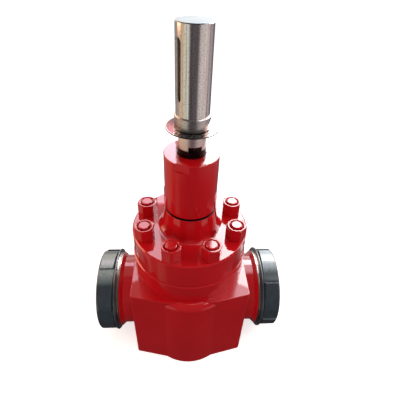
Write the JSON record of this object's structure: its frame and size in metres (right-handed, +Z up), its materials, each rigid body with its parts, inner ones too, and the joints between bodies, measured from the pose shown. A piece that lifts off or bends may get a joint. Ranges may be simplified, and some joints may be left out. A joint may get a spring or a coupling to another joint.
{
  "type": "gate valve",
  "caption": "Mud gate valve with union ends, standing open: a turning drive lowers a slab gate in a cast block body under a bolted bonnet; thread protectors pull off both ends.",
  "frame": {"origin": "centre of the body's flat bottom, straight under the stem axis", "axes": "+Z up along the stem, +X along the flow towards the right-hand union end, -Y towards the front that the picture shows. At rest the valve stands open and both protectors are on."},
  "size_m": [0.4168, 0.2798, 0.702],
  "materials": {
    "red_enamel": "gloss",
    "polished_steel": "polished",
    "turned_steel": "satin",
    "blackened_steel": "satin",
    "hardened_steel": "polished",
    "ground_stem_steel": "polished",
    "gate_steel": "satin",
    "bronze": "satin",
    "black_rubber": "matte",
    "packing_rubber": "matte",
    "slate_plastic": "satin"
  },
  "bodies": {
    "valve": {"body": "red_enamel", "bonnet": "red_enamel", "bonnet_studs": "red_enamel", "bonnet_nuts": "red_enamel", "bonnet_seal_ring": "black_rubber", "seat_ring_left": "turned_steel", "seat_ring_right": "turned_steel", "seat_seal_left": "black_rubber", "seat_seal_right": "black_rubber", "union_seal_left": "black_rubber", "union_seal_right": "black_rubber", "packing_bottom_ring": "bronze", "packing_rings": "packing_rubber", "packing_top_ring": "bronze", "packing_gland": "turned_steel", "bearing_housing": "red_enamel", "housing_seal": "black_rubber", "lower_race_fixed": "hardened_steel", "upper_race_fixed": "hardened_steel"},
    "drive": {"stem_nut": "blackened_steel", "lower_race_turning": "hardened_steel", "upper_race_turning": "hardened_steel", "drive_bush": "turned_steel", "clamp_washer": "polished_steel", "retaining_collar": "polished_steel", "stem_protector": "polished_steel", "protector_lid": "polished_steel"},
    "rising_stem": {"stem": "ground_stem_steel", "gate": "gate_steel"},
    "lower_bearing": {"lower_rollers": "hardened_steel", "lower_cage": "bronze"},
    "upper_bearing": {"upper_rollers": "hardened_steel", "upper_cage": "bronze"},
    "protector_left": {"thread_protector_left": "slate_plastic"},
    "protector_right": {"thread_protector_right": "slate_plastic"}
  },
  "joints": [
    {"name": "drive_turn", "type": "hinge", "parent": "valve", "child": "drive", "pos_m": [0, 0, 0.44], "axis": [0, 0, 1], "range_deg": [-6120, 0]},
    {"name": "stem_lift", "type": "slide", "parent": "valve", "child": "rising_stem", "axis": [0, 0, 1], "range_m": [-0.10795, 0]},
    {"name": "lower_bearing_turn", "type": "hinge", "parent": "valve", "child": "lower_bearing", "pos_m": [0, 0, 0.41], "axis": [0, 0, 1], "range_deg": [-3060, 0]},
    {"name": "upper_bearing_turn", "type": "hinge", "parent": "valve", "child": "upper_bearing", "pos_m": [0, 0, 0.456], "axis": [0, 0, 1], "range_deg": [-3060, 0]},
    {"name": "protector_left_pull", "type": "slide", "parent": "valve", "child": "protector_left", "axis": [-1, 0, 0], "range_m": [0, 0.12]},
    {"name": "protector_right_pull", "type": "slide", "parent": "valve", "child": "protector_right", "axis": [1, 0, 0], "range_m": [0, 0.12]}
  ],
  "couplings": [
    {"joint": "stem_lift", "follows": "drive_turn", "m_per_rad": 0.0010106},
    {"joint": "lower_bearing_turn", "follows": "drive_turn", "ratio": 0.5},
    {"joint": "upper_bearing_turn", "follows": "drive_turn", "ratio": 0.5}
  ]
}
